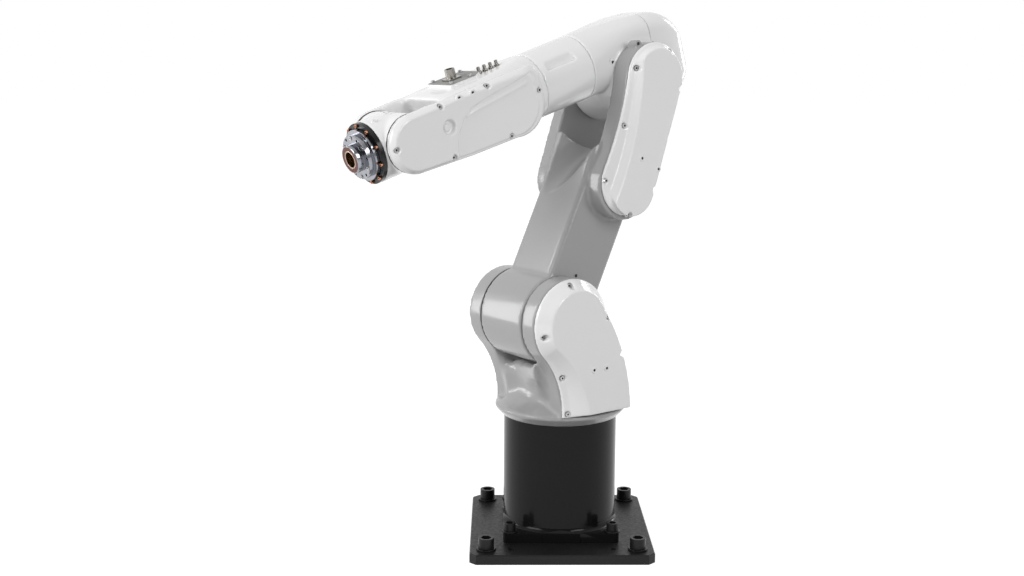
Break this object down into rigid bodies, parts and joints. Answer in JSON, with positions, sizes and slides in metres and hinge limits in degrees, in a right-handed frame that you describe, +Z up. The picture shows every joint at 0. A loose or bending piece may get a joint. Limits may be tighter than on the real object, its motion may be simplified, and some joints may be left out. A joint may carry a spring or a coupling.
{
  "type": "six-axis robot arm",
  "caption": "Six-axis articulated robot arm on a square mounting plate, with a forked upper arm, a rolling forearm, a tilting wrist and a stepped tool flange.",
  "frame": {"origin": "on the first axis at the underside of the mounting plate", "axes": "+Z up along the first axis, +X along the plate's front edge, +Y from the plate's front edge to its rear"},
  "size_m": [0.5153, 0.4184, 0.8243],
  "materials": {
    "grey_paint": "satin",
    "white_paint": "gloss",
    "black_steel": "satin",
    "white_cover": "satin",
    "charcoal_casting": "gloss",
    "plate_steel": "satin",
    "screw_steel": "satin",
    "drive_alloy": "satin",
    "black_plastic": "matte",
    "bright_metal": "polished",
    "black_ring": "satin",
    "copper_screw": "satin",
    "flange_steel": "satin",
    "bronze": "satin",
    "brown_ring": "matte"
  },
  "bodies": {
    "base": {"mounting_plate": "plate_steel", "anchor_screws": "black_steel", "anchor_washers": "black_steel", "base_housing": "charcoal_casting", "base_screws": "black_steel", "base_washers": "black_steel", "connector_panel": "charcoal_casting", "power_inlet": "black_plastic", "signal_inlet": "bright_metal", "air_couplings": "bright_metal", "panel_screws": "screw_steel", "turret_reducer": "drive_alloy", "turret_motor": "drive_alloy"},
    "turret": {"shoulder_casting": "grey_paint", "shoulder_reducer": "drive_alloy", "shoulder_motor": "drive_alloy", "shoulder_cover": "white_cover", "shoulder_cover_screws": "screw_steel", "shoulder_pivot_cap": "grey_paint", "shoulder_cap_screws": "screw_steel"},
    "upper_arm": {"upper_arm_casting": "grey_paint", "elbow_reducer": "drive_alloy", "elbow_motor": "drive_alloy", "elbow_drive_cover": "white_cover", "elbow_drive_cover_screws": "screw_steel", "elbow_pivot_cap": "grey_paint", "elbow_cap_screws": "screw_steel"},
    "elbow": {"elbow_casting": "white_paint", "elbow_rear_cover": "white_paint", "forearm_roll_drive": "drive_alloy"},
    "forearm": {"forearm_tube": "white_paint", "forearm_casting": "white_paint", "forearm_side_cover": "white_cover", "forearm_cover_screws": "screw_steel", "wrist_pivot_cap": "white_paint", "tool_connector": "bright_metal", "air_ports": "bright_metal", "platform_screws": "screw_steel"},
    "wrist": {"wrist_casting": "white_paint", "seal_ring": "black_ring", "seal_ring_screws": "copper_screw"},
    "flange": {"tool_flange": "flange_steel", "flange_screws": "screw_steel", "hollow_sleeve": "bronze", "face_ring": "brown_ring"}
  },
  "joints": [
    {"name": "turret_turn", "type": "hinge", "parent": "base", "child": "turret", "pos_m": [0, 0, 0], "axis": [0, 0, 1], "range_deg": [-116.5, 223.5]},
    {"name": "shoulder_tilt", "type": "hinge", "parent": "turret", "child": "upper_arm", "pos_m": [-0.04019, -0.02974, 0.36], "axis": [0.5948, -0.8039, 0], "range_deg": [-54.8, 88]},
    {"name": "elbow_tilt", "type": "hinge", "parent": "upper_arm", "child": "elbow", "pos_m": [0.09671, 0.07156, 0.72193], "axis": [-0.5948, 0.8039, 0], "range_deg": [-20, 225]},
    {"name": "forearm_roll", "type": "hinge", "parent": "elbow", "child": "forearm", "pos_m": [0.08571, 0.06343, 0.7648], "axis": [-0.7658, -0.5667, -0.304], "range_deg": [-190, 190]},
    {"name": "wrist_tilt", "type": "hinge", "parent": "forearm", "child": "wrist", "pos_m": [-0.24358, -0.18024, 0.63407], "axis": [-0.5948, 0.8039, 0], "range_deg": [-120, 120]},
    {"name": "flange_roll", "type": "hinge", "parent": "wrist", "child": "flange", "pos_m": [-0.24358, -0.18024, 0.63407], "axis": [-0.7658, -0.5667, -0.304], "range_deg": [-360, 360]}
  ]
}
